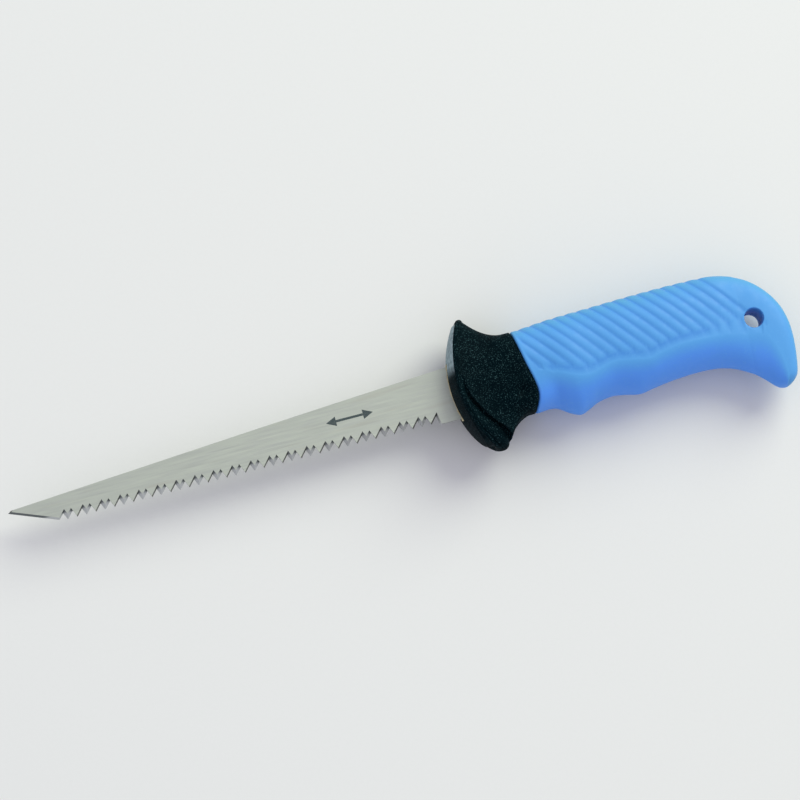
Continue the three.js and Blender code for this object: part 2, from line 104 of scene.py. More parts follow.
# Guard. Tables by angle run in degrees from the flange's top (0) to its bottom (180).
AXIS_Y = 9.0
FLANGE_FRONT = -2.4
FLANGE_ARC = (38.0, 34.0)
FLANGE_ABOVE = 22.4
FLANGE_BELOW = 23.3
FLANGE_HALF_WIDTH = 12.2
FLANGE_SQUARENESS = 2.15
FLANGE_DOME = 1.4
SLEEVE_REACH = 14.0
SLEEVE_HALF_WIDTH = 10.0
SLEEVE_SQUARENESS = 2.7
RIM_THICKNESS = [
    (0, 2.6), (25, 2.0), (50, 1.5), (108, 1.5), (140, 2.9), (156, 4.7), (168, 5.2), (180, 5.0),
]
RIM_ROUNDING = [(0, 1.25), (30, 0.7), (140, 0.7), (165, 1.6), (180, 2.2)]
FILLET_LENGTH = [(0, 12), (84, 12), (120, 10), (150, 8), (168, 8), (180, 10.5)]
FRONT_RINGS = 40
BAND_GROOVE = 0.4
BAND_GROOVE_START = (108, 122)
BAND_GROOVE_PROFILE = {0.1: 0, 0.22: 0, 0.28: 0.7, 0.34: 1, 0.40: 0.7, 0.46: 0, 0.58: 0, 0.75: 0, 0.9: 0}
CREASE_DEPTH = [
    (0, 0), (74, 0), (84, 0.3), (112, 1.5), (138, 2.3), (160, 2.8), (168, 1.5), (174, 0), (180, 0),
]
CREASE_WIDTH = [(0, 0), (70, 0), (80, 1.4), (110, 1.9), (145, 3.4), (162, 3.2), (174, 0.5), (180, 0)]
CREASE_LEAST_WIDTH = 0.04
SLEEVE_ROUNDING = 0.35
DIMPLE = (20.2, 2.2)
DIMPLE_SIZE = (3.2, 1.9)
DIMPLE_DEPTH = 1.7
DIMPLE_SIDES = (6, 9)
# Heights on the front face over which its painted sheen fades in.
SHEEN_HEIGHTS = (12, 17)
SLOT_X = (-20, 12)
SLOT_BOTTOM = -1.6
SLOT_TOP = 18.2
SLOT_WIDTH = 2.2

# Sealant bead: middle line of the gap between blade and slot, and half the bead's width there. Its front edge
# has small waves, each given by height, radians per millimetre and phase.
SEALANT_Y = (-1.17, 17.8)
SEALANT_Z = 0.875
SEALANT_HALF = 0.185
SEALANT_END_HALF = 0.3
SEALANT_SQUARENESS = 9
SEALANT_SUNK = 0.2
SEALANT_BULGE = 0.25
SEALANT_TAIL = 1.1
SEALANT_WAVES = [(0.12, 2.1, 1), (0.06, 5.3, 0)]

# Line where the guard ends and the grip starts, X by Y, and each one's distance from it.
JOINT_GAP = 0.15
JOINT_LINE = [(-8, 22.6), (-5, 23.3), (-1.5, 24.5), (2, 24.7), (11.6, 22.7), (20.6, 21.4), (25, 21.2)]

# Grip: outline above and below by X, the line where the side starts to turn under, and the half width.
GRIP_START = 21.0
POMMEL_START = 97.0
GRIP_TOP = [
    (21, 22.8), (26, 23.2), (34, 23.8), (50, 24.3), (66, 24.7), (82, 24.7),
    (89, 24.3), (93, 23.6), (97, 22.4),
]
GRIP_BOTTOM = [
    (21, -5.1), (27, -4.9), (30.5, -5.7), (34.5, -8.1), (37.6, -9.3), (40.6, -8.3), (44, -6.8), (49, -6),
    (53, -6.5), (58.4, -7.6), (63, -6.9), (70, -6), (79, -5.5), (86, -6), (91.5, -7.7), (97, -10.9),
]
GRIP_EDGE = [
    (21, 8.2), (28, 7.2), (33, 6.4), (38, 4.2), (42, 3.4), (46, 4.2), (51, 5.4), (57, 4.6), (63, 3.5),
    (67, 4.4), (74, 5.5), (88, 5.3), (92, 4.7), (97, 3.5),
]
SIDE_BAND = 1.6
SETTLE_LENGTH = 10
JOINT_FADE = 14
TOP_SQUARENESS = 3.0
TOP_SQUARENESS_RISE = 1.5
TOP_RISE_START = 80
UNDERSIDE_SQUARENESS = 1.7
LIP_DEPTH = 0.45
LIP_LENGTH = 0.6
GRIP_HALF_WIDTH = [(21, 10), (30, 10.5), (38, 11.2), (48, 10.7), (60, 11), (76, 10.6), (88, 9.2), (97, 7.8)]

# Pommel: outer outline, inner outline and the same edge line, all ending at the hook's tip. The half widths go
# by fractions of the way from the pommel's start to that tip, like POMMEL_BAND_FADE and HOOK_TIP_START.
HOOK_TIP = (106.0, -17.6)
POMMEL_OUTER = [
    (97, 22.4), (102.3, 19.5), (107, 15), (110.4, 9.6), (112, 4), (112.3, -1), (111.9, -6.5), (111.1, -11.5),
    (110.3, -14.4), (109.2, -15.8), (107.6, -17), HOOK_TIP,
]
POMMEL_INNER = [
    (97, -10.9), (98.9, -12.6), (100.6, -14.3), (102.2, -16), (103.6, -17.1), (104.8, -17.5), HOOK_TIP,
]
POMMEL_EDGE = [
    (97, 3.5), (100.5, 2.2), (103.6, -0.6), (105.6, -4.5), (106.6, -8.5), (107, -12.2), (106.9, -15),
    HOOK_TIP,
]
POMMEL_HALF_WIDTH = [(0, 7.8), (0.3, 7.5), (0.6, 6.8), (0.85, 5.8)]
POMMEL_CROWDING = 1.25
POMMEL_BAND_FADE = 0.35
HOOK_TIP_START = 0.82
HOOK_SQUARENESS_RISE = 0.3

HOLE = (100.5, 6.5)
HOLE_RADIUS = 3.25
HOLE_ROUNDING = 0.6
HOLE_FACE = 7.75
CUTTER_EXTRA = 3

# Ribs: diagonal rolls with sharp valleys, spaced along X where they cross the grip's top.
RIB_SPACING = 4.225
RIB_VALLEY_X = 35.5
RIB_SLOPE = math.radians(51.5)
RIB_DEPTH = 0.31
RIB_END = 88.2
RIB_TOP_Y = 24.5
RIB_END_LENGTH = 1.6
RIB_END_FADE = 1.2
RIB_START = (0.8, 2.2)
RIB_FOOT = 0.5

# Where the grip's painted light on top and painted shade on its underside start and end their change of
# colour, in shares of a half section.
TOP_LIGHT_SHARE = (0.18, 0.4)
UNDERSIDE_SHADE_SHARE = (0.02, 0.2)

# Core pocket inside guard and grip, as in the CAD.
CORE_SPACE = {"x": (7.7, 88.3), "y": (-1.5, 19.1), "half_width": 6.5}

# View: the point looked at and the width seen there in millimetres, then the way back to the camera and its
# distance in metres.
VIEW_TARGET = (-19.21, 10.57, 0)
VIEW_WIDTH = 263.07
VIEW_BACK = (-0.125, -0.13, 1)
VIEW_DISTANCE = 3.0
VIEW_ROLL = math.radians(14.56)
SENSOR_WIDTH = 36

# Light and floor, in metres: a slightly violet sky and one large, slightly green key.
SKY_COLOUR = (0.67, 0.665, 0.735)
KEY_PLACE = (1.75, 1.45, 1.75)
KEY_SIZE = 2.2
KEY_POWER = 66.0
KEY_COLOUR = (0.95, 1.0, 0.82)
FLOOR_HALF = 3.0


def to_frame(points):
    """Points in the saw's millimetres as points in the CAD's metres."""
    return np.asarray(points, float) * MM + np.array(ORIGIN)


def along(knots, x):
    """A smooth curve through sorted (x, y) knots, read at x (a number or an array)."""
    xs = np.array([k[0] for k in knots], float)
    ys = np.array([k[1] for k in knots], float)
    slopes = np.empty_like(ys)
    slopes[1:-1] = (ys[2:] - ys[:-2]) / (xs[2:] - xs[:-2])
    slopes[0] = (ys[1] - ys[0]) / (xs[1] - xs[0])
    slopes[-1] = (ys[-1] - ys[-2]) / (xs[-1] - xs[-2])
    at = np.clip(x, xs[0], xs[-1])
    i = np.clip(np.searchsorted(xs, at) - 1, 0, len(xs) - 2)
    span = xs[i + 1] - xs[i]
    t = (at - xs[i]) / span
    start = ys[i] * (1 + 2 * t) * (1 - t) ** 2 + slopes[i] * span * t * (1 - t) ** 2
    end = ys[i + 1] * t * t * (3 - 2 * t) + slopes[i + 1] * span * t * t * (t - 1)
    return start + end


def path_points(knots, fractions):
    """Points at given fractions of the length of a smooth curve through the knots."""
    knots = np.array(knots, float)
    chord = np.concatenate([[0], np.cumsum(np.linalg.norm(np.diff(knots, axis=0), axis=1))])
    fine = np.linspace(0, chord[-1], 400)
    curve = np.stack([along(list(zip(chord, knots[:, k])), fine) for k in range(2)], axis=1)
    length = np.concatenate([[0], np.cumsum(np.linalg.norm(np.diff(curve, axis=0), axis=1))])
    wanted = np.asarray(fractions) * length[-1]
    return np.stack([np.interp(wanted, length, curve[:, k]) for k in range(2)], axis=1)


def smoothstep(x, low, high):
    t = np.clip((np.asarray(x, float) - low) / (high - low), 0, 1)
    return t * t * (3 - 2 * t)


def mesh_object(name, points, faces, sharp_degrees=None):
    """A mesh object from points in the saw's millimetres."""
    mesh = bpy.data.meshes.new(name)
    mesh.from_pydata(to_frame(points).tolist(), [], faces)
    mesh.validate()
    mesh.shade_smooth()
    if sharp_degrees is not None:
        mesh.set_sharp_from_angle(angle=math.radians(sharp_degrees))
    piece = bpy.data.objects.new(name, mesh)
    bpy.context.scene.collection.objects.link(piece)
    return piece


def loft_faces(rings, count):
    """Quads through rings of equally many points, with a fan to one more point over each end."""
    faces = []
    start, end = rings * count, rings * count + 1
    last = (rings - 1) * count
    for j in range(count):
        k = (j + 1) % count
        faces.append((start, k, j))
        faces.append((end, last + j, last + k))
        for i in range(rings - 1):
            a, b = i * count + j, i * count + k
            faces.append((a, b, b + count, a + count))
    return faces


def loft(name, rings):
    """A closed surface through an array of rings (rings, points, 3)."""
    number, count = rings.shape[:2]
    points = np.concatenate([rings.reshape(-1, 3), [rings[0].mean(0)], [rings[-1].mean(0)]])
    return mesh_object(name, points, loft_faces(number, count))


def add_attribute(piece, name, values, domain="POINT"):
    """Stores one number for each point or face, for the materials to read."""
    attribute = piece.data.attributes.new(name, "FLOAT", domain)
    attribute.data.foreach_set("value", values)


def merge_points(piece, distance=1e-6):
    """Joins points that lie together and drops the faces that collapse."""
    bm = bmesh.new()
    bm.from_mesh(piece.data)
    bmesh.ops.remove_doubles(bm, verts=bm.verts, dist=distance)
    bmesh.ops.dissolve_degenerate(bm, edges=bm.edges, dist=distance / 10)
    bm.to_mesh(piece.data)
    bm.free()


def cut(piece, *cutters):
    """Subtracts the cutters from the piece for good, and removes them."""
    for cutter in cutters:
        modifier = piece.modifiers.new("cut", "BOOLEAN")
        modifier.operation = "DIFFERENCE"
        modifier.solver = "EXACT"
        modifier.object = cutter
    bpy.context.view_layer.update()
    graph = bpy.context.evaluated_depsgraph_get()
    result = bpy.data.meshes.new_from_object(piece.evaluated_get(graph))
    piece.modifiers.clear()
    old = piece.data
    piece.data = result
    bpy.data.meshes.remove(old)
    for cutter in cutters:
        bpy.data.objects.remove(cutter)


def half_section(outline, middle, half_width, squareness, steps):
    """Half a cross-section, from -Z on the middle over the outline point to +Z, as (steps + 1, 3)."""
    angle = np.linspace(0, math.pi, steps + 1)
    out = np.sin(angle) ** (2 / squareness)
    out[-1] = 0
    up = -np.sign(np.cos(angle)) * np.abs(np.cos(angle)) ** (2 / squareness)
    flat = np.outer(1 - out, middle) + np.outer(out, outline)
    return np.column_stack([flat, up * half_width])


def grip_ring(above, below, middle, half_width, squareness, steps):
    """A whole cross-section: first the half above the side's edge line, then the half below it."""
    upper = half_section(above, middle, half_width, squareness[0], steps)
    lower = half_section(below, middle, half_width, squareness[1], steps)
    return np.concatenate([upper[:-1], lower[::-1][:-1]])


def grip_rings(stations=330, pommel_stations=150, steps=96):
    """Sections of the smooth grip from the guard to the pommel, and round the hook to its tip."""
    rings = []
    xs = np.linspace(GRIP_START, POMMEL_START, stations, endpoint=False)
    for x in xs:
        rise = float(smoothstep(x, TOP_RISE_START, POMMEL_START))
        settle = float(smoothstep(x, GRIP_START, GRIP_START + SETTLE_LENGTH))
        squareness = (
            TOP_SQUARENESS + TOP_SQUARENESS_RISE * rise,
            SLEEVE_SQUARENESS + (UNDERSIDE_SQUARENESS - SLEEVE_SQUARENESS) * settle,
        )
        above, below = (x, along(GRIP_TOP, x)), (x, along(GRIP_BOTTOM, x))
        middle = (x, AXIS_Y + (along(GRIP_EDGE, x) - SIDE_BAND - AXIS_Y) * settle)
        ring = grip_ring(above, below, middle, along(GRIP_HALF_WIDTH, x), squareness, steps)
        fade = 1 - float(smoothstep(x, GRIP_START, GRIP_START + JOINT_FADE))
        ring[:, 0] += (along(JOINT_LINE, ring[:, 1]) + JOINT_GAP - GRIP_START) * fade
        rings.append(ring)
    fractions = 1 - (1 - np.linspace(0, 1, pommel_stations)) ** POMMEL_CROWDING
    outer = path_points(POMMEL_OUTER, fractions)
    inner = path_points(POMMEL_INNER, fractions)
    edge = path_points(POMMEL_EDGE, fractions)
    edge[:, 1] -= SIDE_BAND * (1 - smoothstep(fractions, 0, POMMEL_BAND_FADE))
    for i, fraction in enumerate(fractions[:-1]):
        tip = max(0.0, (fraction - HOOK_TIP_START) / (1 - HOOK_TIP_START))
        half_width = along(POMMEL_HALF_WIDTH, fraction) * math.sqrt(1 - tip ** 2)
        squareness = (
            TOP_SQUARENESS + TOP_SQUARENESS_RISE * (1 - fraction),
            UNDERSIDE_SQUARENESS + HOOK_SQUARENESS_RISE * fraction,
        )
        rings.append(grip_ring(outer[i], inner[i], edge[i], half_width, squareness, steps))
    rings.append(np.broadcast_to(np.array([*HOOK_TIP, 0.0]), rings[0].shape).copy())
    return np.array(rings)


def ring_normals(rings):
    """Outward normals of a grid of rings."""
    du = np.gradient(rings, axis=0)
    dv = (np.roll(rings, -1, axis=1) - np.roll(rings, 1, axis=1)) / 2
    normal = np.cross(dv, du)
    length = np.linalg.norm(normal, axis=2, keepdims=True)
    normal = normal / np.maximum(length, 1e-9)
    middle = rings.mean(axis=1, keepdims=True)
    outward = np.sign(np.sum(normal * (rings - middle), axis=(1, 2)))
    return normal * outward[:, None, None]


def rib_depth(rings):
    """How deep the ribs' valleys lie at each point of the grip."""
    x, y = rings[..., 0], rings[..., 1]
    crossing = x - (RIB_TOP_Y - y) / math.tan(RIB_SLOPE)
    phase = (crossing - RIB_VALLEY_X) / RIB_SPACING
    across = 2 * (phase - np.floor(phase)) - 1
    above = y - along(GRIP_EDGE, x)
    round_end = np.clip(1 - (above - RIB_FOOT) / RIB_END_LENGTH, 0, 1)
    roll = np.minimum(across ** 2 + round_end ** 2, 1)
    start = smoothstep(x - along(JOINT_LINE, y), *RIB_START)
    end = 1 - smoothstep(crossing, RIB_END - RIB_END_FADE, RIB_END)
    lower = smoothstep(above, 0.0, RIB_FOOT)
    return RIB_DEPTH * roll * start * end * lower


def painted_light_shares(rings):
    """How far each point of the grip lies towards its top and towards its underside, from 0 at the side: the
    shares of the painted light on top and the painted shade below.
    """
    steps = rings.shape[1] // 2
    k = np.arange(steps)
    share = np.minimum(k, steps - k) / steps
    none = np.zeros(steps)
    over = np.concatenate([smoothstep(share, *TOP_LIGHT_SHARE), none])
    under = np.concatenate([none, smoothstep(share, *UNDERSIDE_SHADE_SHARE)])
    return [np.broadcast_to(values, rings.shape[:2]) for values in (over, under)]


def front_lip(rings):
    """How far the grip's front edge rounds down towards the guard."""
    behind = rings[..., 0] - along(JOINT_LINE, rings[..., 1]) - JOINT_GAP
    return LIP_DEPTH * np.clip(1 - behind / LIP_LENGTH, 0, 1) ** 2


def hole_cutter(places=96):
    """A round post along Z that widens at both faces in a quarter round, with its straight wall marked for the
    painted shade on the hang hole's wall.
    """
    profile = []
    for a in np.linspace(0, math.pi / 2, 9):
        radius = HOLE_RADIUS + HOLE_ROUNDING * (1 - math.cos(a))
        profile.append((radius, HOLE_FACE - HOLE_ROUNDING * (1 - math.sin(a))))
    profile.append((HOLE_RADIUS + HOLE_ROUNDING, HOLE_FACE + CUTTER_EXTRA))
    profile = [(r, -h) for r, h in reversed(profile)] + profile
    angles = np.linspace(0, 2 * math.pi, places, endpoint=False)
    x, y = np.cos(angles), np.sin(angles)
    rings = np.array([
        np.column_stack([HOLE[0] + r * x, HOLE[1] + r * y, np.full(places, h)]) for r, h in profile
    ])
    cutter = loft("hole_cutter", rings)
    # The hole's straight wall is marked for a painted shade on the grip.
    wall = np.repeat([float(r == HOLE_RADIUS) for r, h in profile], places)
    add_attribute(cutter, "bore_shade", np.append(wall, [0, 0]))
    return cutter


def box_piece(name, low, high):
    x0, y0, z0 = low
    x1, y1, z1 = high
    points = [(x, y, z) for x in (x0, x1) for y in (y0, y1) for z in (z0, z1)]
    faces = [(0, 1, 3, 2), (4, 6, 7, 5), (0, 4, 5, 1), (2, 3, 7, 6), (0, 2, 6, 4), (1, 5, 7, 3)]
    return mesh_object(name, points, faces)


def core_pocket():
    (x0, x1), (y0, y1), w = CORE_SPACE["x"], CORE_SPACE["y"], CORE_SPACE["half_width"]
    return box_piece("core_pocket", (x0, y0, -w), (x1, y1, w))


def make_grip():
    """The ribbed grip, with the hang hole and the core's pocket cut out."""
    rings = grip_rings()
    normals = ring_normals(rings)
    depth = rib_depth(rings)
    rings = rings - normals * (depth + front_lip(rings))[..., None]
    grip = loft("grip_soft", rings)
    # Shares for the painted light on the top and the painted shade on the underside.
    over, under = painted_light_shares(rings)
    # The rib valleys' depth is stored for their painted shade.
    for name, values in (("rib_shade", depth / RIB_DEPTH), ("over", over), ("under", under)):
        add_attribute(grip, name, np.append(values.ravel(), [0, 0]))
    merge_points(grip)
    cut(grip, core_pocket(), hole_cutter())
    return grip


def oval_radius(angle, above, below, half_width, squareness):
    """Radius of a squarish oval at angles from its top."""
    vertical = np.where(np.cos(angle) > 0, above, below)
    y = np.abs(np.cos(angle)) / vertical
    z = np.abs(np.sin(angle)) / half_width
    return (y ** squareness + z ** squareness) ** (-1 / squareness)


def flange_front(y, z):
    """X of the flange's front face, which sweeps back above and below and domes across."""
    rise = y - AXIS_Y
    arc = np.where(rise > 0, *FLANGE_ARC)
    sweep = arc - np.sqrt(arc ** 2 - rise ** 2)
    return FLANGE_FRONT + sweep + FLANGE_DOME * (z / FLANGE_HALF_WIDTH) ** 2


def guard_rings(places=288):
    """Rings from the front face's middle over the rim, the crease and the fillet to the sleeve's end."""
    angle = np.linspace(0, 2 * math.pi, places, endpoint=False)
    degrees = np.degrees(np.minimum(angle, 2 * math.pi - angle))
    rim = oval_radius(angle, FLANGE_ABOVE, FLANGE_BELOW, FLANGE_HALF_WIDTH, FLANGE_SQUARENESS)
    sleeve = oval_radius(angle, SLEEVE_REACH, SLEEVE_REACH, SLEEVE_HALF_WIDTH, SLEEVE_SQUARENESS)
    up, side = np.cos(angle), np.sin(angle)
    edge = along(RIM_ROUNDING, degrees)

    def ring(x, radius):
        return np.column_stack([np.broadcast_to(x, radius.shape), AXIS_Y + up * radius, side * radius])

    def face(radius):
        return flange_front(AXIS_Y + up * radius, side * radius)

    # Front face, then the rounding into the rim.
    rings = []
    for step in np.linspace(0.02, 1, FRONT_RINGS)[:-1]:
        radius = (rim - edge) * step
        rings.append(ring(face(radius), radius))
    front = face(rim)
    for a in np.linspace(0, math.pi / 2, 7):
        rings.append(ring(front + edge * (1 - math.cos(a)), rim - edge * (1 - math.sin(a))))

    # Rim with its groove, then the rounding into the back.
    back = front + along(RIM_THICKNESS, degrees)
    groove = BAND_GROOVE * smoothstep(degrees, *BAND_GROOVE_START)
    for s, sunk in BAND_GROOVE_PROFILE.items():
        rings.append(ring(front + edge + (back - front - 2 * edge) * s, rim - sunk * groove))
    for a in np.linspace(0, math.pi / 2, 7):
        rings.append(ring(back - edge * (1 - math.sin(a)), rim - edge * (1 - math.cos(a))))

    # Crease behind the rim, then the fillet down to the sleeve.
    shoulder = rim - edge
    length = along(FILLET_LENGTH, degrees)
    deep = np.maximum(along(CREASE_DEPTH, degrees), 0)
    width = np.maximum(along(CREASE_WIDTH, degrees), CREASE_LEAST_WIDTH)
    for s in np.linspace(0, 1, 29)[1:]:
        rings.append(ring(back + s * width, shoulder - deep * math.sin(math.pi * s) ** 2))
    for s in np.linspace(0, 1, 48)[1:]:
        rings.append(ring(back + width + s * length, sleeve + (shoulder - sleeve) * (1 - s) ** 2))

    # Sleeve up to the grip, with a rounded end.
    start = back + width + length
    end = along(JOINT_LINE, AXIS_Y + up * sleeve) - JOINT_GAP
    for s in np.linspace(0, 1, 16)[1:]:
        rings.append(ring(start + (end - SLEEVE_ROUNDING - start) * s, sleeve))
    for a in np.linspace(0, math.pi / 2, 5)[1:]:
        x = end - SLEEVE_ROUNDING * (1 - math.sin(a))
        rings.append(ring(x, sleeve - SLEEVE_ROUNDING * (1 - math.cos(a))))
    return np.array(rings)


def press_dimples(rings):
    """Sinks a shallow dimple into both sides of the guard."""
    across = (rings[..., 0] - DIMPLE[0]) / DIMPLE_SIZE[0]
    upward = (rings[..., 1] - DIMPLE[1]) / DIMPLE_SIZE[1]
    sunk = DIMPLE_DEPTH * np.exp(-across ** 2 - upward ** 2)
    outside = smoothstep(np.abs(rings[..., 2]), *DIMPLE_SIDES)
    rings[..., 2] -= np.sign(rings[..., 2]) * sunk * outside


def make_guard():
    """The guard, with the blade's slot and the core's pocket cut out."""
    rings = guard_rings()
    press_dimples(rings)
    guard = loft("guard_moulded", rings)
    # Painted highlight: a pale sheen high on the front face, where light grazes it.
    on_front = np.arange(len(rings))[:, None] < FRONT_RINGS
    sheen_share = on_front * smoothstep(rings[..., 1], *SHEEN_HEIGHTS)
    add_attribute(guard, "front_sheen", np.append(sheen_share.ravel(), [0, 0]))
    merge_points(guard)
    half = SLOT_WIDTH / 2
    slot = box_piece("slot", (SLOT_X[0], SLOT_BOTTOM, -half), (SLOT_X[1], SLOT_TOP, half))
    cut(guard, slot, core_pocket())
    return guard


def inset_outline(corners, insets):
    """The outline with each edge moved inwards by its own inset. The inside lies to the corners' left."""
    corners = np.array(corners, float)
    edges = np.roll(corners, -1, axis=0) - corners
    edges /= np.linalg.norm(edges, axis=1, keepdims=True)
    inward = np.column_stack([-edges[:, 1], edges[:, 0]])
    moved = corners + inward * np.array(insets)[:, None]
    result = np.empty_like(corners)
    for i in range(len(corners)):
        a, da = moved[i - 1], edges[i - 1]
        b, db = moved[i], edges[i]
        cross = da[0] * db[1] - da[1] * db[0]
        if abs(cross) < 1e-6:
            result[i] = b
            continue
        t = ((b[0] - a[0]) * db[1] - (b[1] - a[1]) * db[0]) / cross
        result[i] = a + da * t
    return result


def blade_edges():
    """Each edge of the blade's outline as (start corner, inset on the near side, inset on the far side)."""
    edges = [(POINT, TIP_BEVEL, TIP_BEVEL), (TOE, TOE_BEVEL, TOE_BEVEL)]
    for i in range(TEETH):
        x = FIRST_TOOTH + i * PITCH
        near_ground = i % 2 == 0
        leading = (FLEAM, 0.0) if near_ground else (0.0, FLEAM)
        trailing = (FLEAM, BACK_FLEAM) if near_ground else (BACK_FLEAM, FLEAM)
        edges.append(((x - PITCH / 2 + TOOTH_LEAN, TOOTH_DEPTH), *leading))
        edges.append(((x, 0.0), *trailing))
    last_gullet = FIRST_TOOTH + (TEETH - 0.5) * PITCH + TOOTH_LEAN
    edges.append(((last_gullet, TOOTH_DEPTH), LAST_GULLET_BEVEL, LAST_GULLET_BEVEL))
    edges.append(((HEEL_X, -HEEL_DROP), HEEL_BEVEL, HEEL_BEVEL))
    for corner in ((TANG_END, -HEEL_DROP), (TANG_END, SPINE_AT_GUARD[1]), SPINE_AT_GUARD, SPINE_BEND):
        edges.append((corner, PLAIN_BEVEL, PLAIN_BEVEL))
    edges.append((POINT_TOP, POINT_END_BEVEL, POINT_END_BEVEL))
    return edges


def blade_layers():
    """The outline three times: ground back on the near and far faces, full on the mid-plane. The teeth lean
    alternately to the far and the near side."""
    edges = blade_edges()
    corners = [edge[0] for edge in edges]
    half = THICKNESS / 2
    layers = []
    for side, z in ((1, half), (0, 0.0), (2, -half)):
        insets = [edge[side] if side else 0.0 for edge in edges]
        outline = inset_outline(corners, insets)
        layers.append(np.column_stack([outline, np.full(len(outline), z)]))
    for layer in layers:
        for i in range(TEETH):
            tip = layer[FIRST_GULLET + 1 + 2 * i]
            lean = (TOOTH_DEPTH - tip[1]) / TOOTH_DEPTH
            tip[2] += TOOTH_SET * lean * (-1 if i % 2 == 0 else 1)
    return layers


def is_back_flank(edge, layer):
    """Whether an edge is the trailing flank of a tooth whose ground side is not this layer's."""
    tooth, trailing = divmod(edge - FIRST_GULLET, 2)
    return 0 <= tooth < TEETH and trailing == 1 and tooth % 2 != layer


def make_blade():
    """Flat faces near and far and two layers of edge faces between them, which are ground along the teeth."""
    layers = blade_layers()
    count = len(layers[0])
    last_gullet = FIRST_GULLET + 2 * TEETH
    tips = range(FIRST_GULLET + 1, last_gullet, 2)
    body = [i for i in range(count) if i not in tips]
    faces = [tuple(body), tuple(2 * count + i for i in reversed(body))]
    for t in tips:
        faces.append((t - 1, t, t + 1))
        faces.append((2 * count + t + 1, 2 * count + t, 2 * count + t - 1))
    kinds = [0] * len(faces)
    # Faces made darker in the ground material: the marked back flanks and the point's end.
    darkened = [0.0] * len(faces)
    for layer in range(2):
        a, b = layer * count, (layer + 1) * count
        for i in range(count):
            k = (i + 1) % count
            faces.append((a + k, a + i, b + i, b + k))
            point_end = i == count - 1
            kinds.append(1 if i <= last_gullet + 1 or point_end else 0)
            darkened.append(1.0 if is_back_flank(i, layer) or point_end else 0.0)
    blade = mesh_object("blade_toothed", np.concatenate(layers), faces, BLADE_SHARP_DEGREES)
    blade.data.polygons.foreach_set("material_index", kinds)
    add_attribute(blade, "dark_facet", darkened, "FACE")
    return blade


def make_mark():
    """A plain double-headed arrow etched where the blade is widest, for the direction of the stroke."""
    x, y = MARK_PLACE
    half, (head, barb) = MARK_HALF_LENGTH, MARK_HEAD
    neck = half - head
    side = [(-half, 0), (-neck, barb), (-neck, MARK_SHAFT), (neck, MARK_SHAFT), (neck, barb), (half, 0)]
    outline = side + [(px, -py) for px, py in side[-2:0:-1]]
    low, high = THICKNESS / 2 - MARK_SUNK, THICKNESS / 2 + MARK_PROUD
    count = len(outline)
    points = [(x + px, y + py, z) for z in (low, high) for px, py in outline]
    faces = [tuple(range(count)), tuple(count + i for i in reversed(range(count)))]
    for i in range(count):
        k = (i + 1) % count
        faces.append((k, i, count + i, count + k))
    return mesh_object("stroke_arrow", points, faces, MARK_SHARP_DEGREES)


def make_sealant(places=160, steps=10):
    """A bead round the blade in the slot's mouth, bulging forward to just behind the guard's front face."""
    low, high = SEALANT_Y
    middle, reach, gap = (low + high) / 2, (high - low) / 2, SEALANT_Z
    angle = np.linspace(0, 2 * math.pi, places, endpoint=False)
    power = 2 / SEALANT_SQUARENESS
    across = np.sign(np.sin(angle)) * np.abs(np.sin(angle)) ** power * gap
    upward = middle - np.sign(np.cos(angle)) * np.abs(np.cos(angle)) ** power * reach
    rings = []
    for k in range(steps):
        a = 2 * math.pi * k / steps
        out, forward = math.cos(a), math.sin(a)
        z = across * (1 + out * SEALANT_HALF / gap)
        y = middle + (upward - middle) * (1 + out * SEALANT_END_HALF / reach)
        wobble = sum(height * np.sin(upward * turn + phase) for height, turn, phase in SEALANT_WAVES)
        front = flange_front(upward, across) - SEALANT_SUNK + wobble
        bulge, tail = SEALANT_BULGE * (1 - forward), SEALANT_BULGE - SEALANT_TAIL * forward
        x = front + np.where(forward > 0, bulge, tail)
        rings.append(np.column_stack([x, y, z]))
    rings = np.array(rings)
    faces = []
    for k in range(steps):
        for j in range(places):
            a, b = k * places, (k + 1) % steps * places
            n = (j + 1) % places
            faces.append((a + j, a + n, b + n, b + j))
    return mesh_object("sealant_bead", rings.reshape(-1, 3), faces)


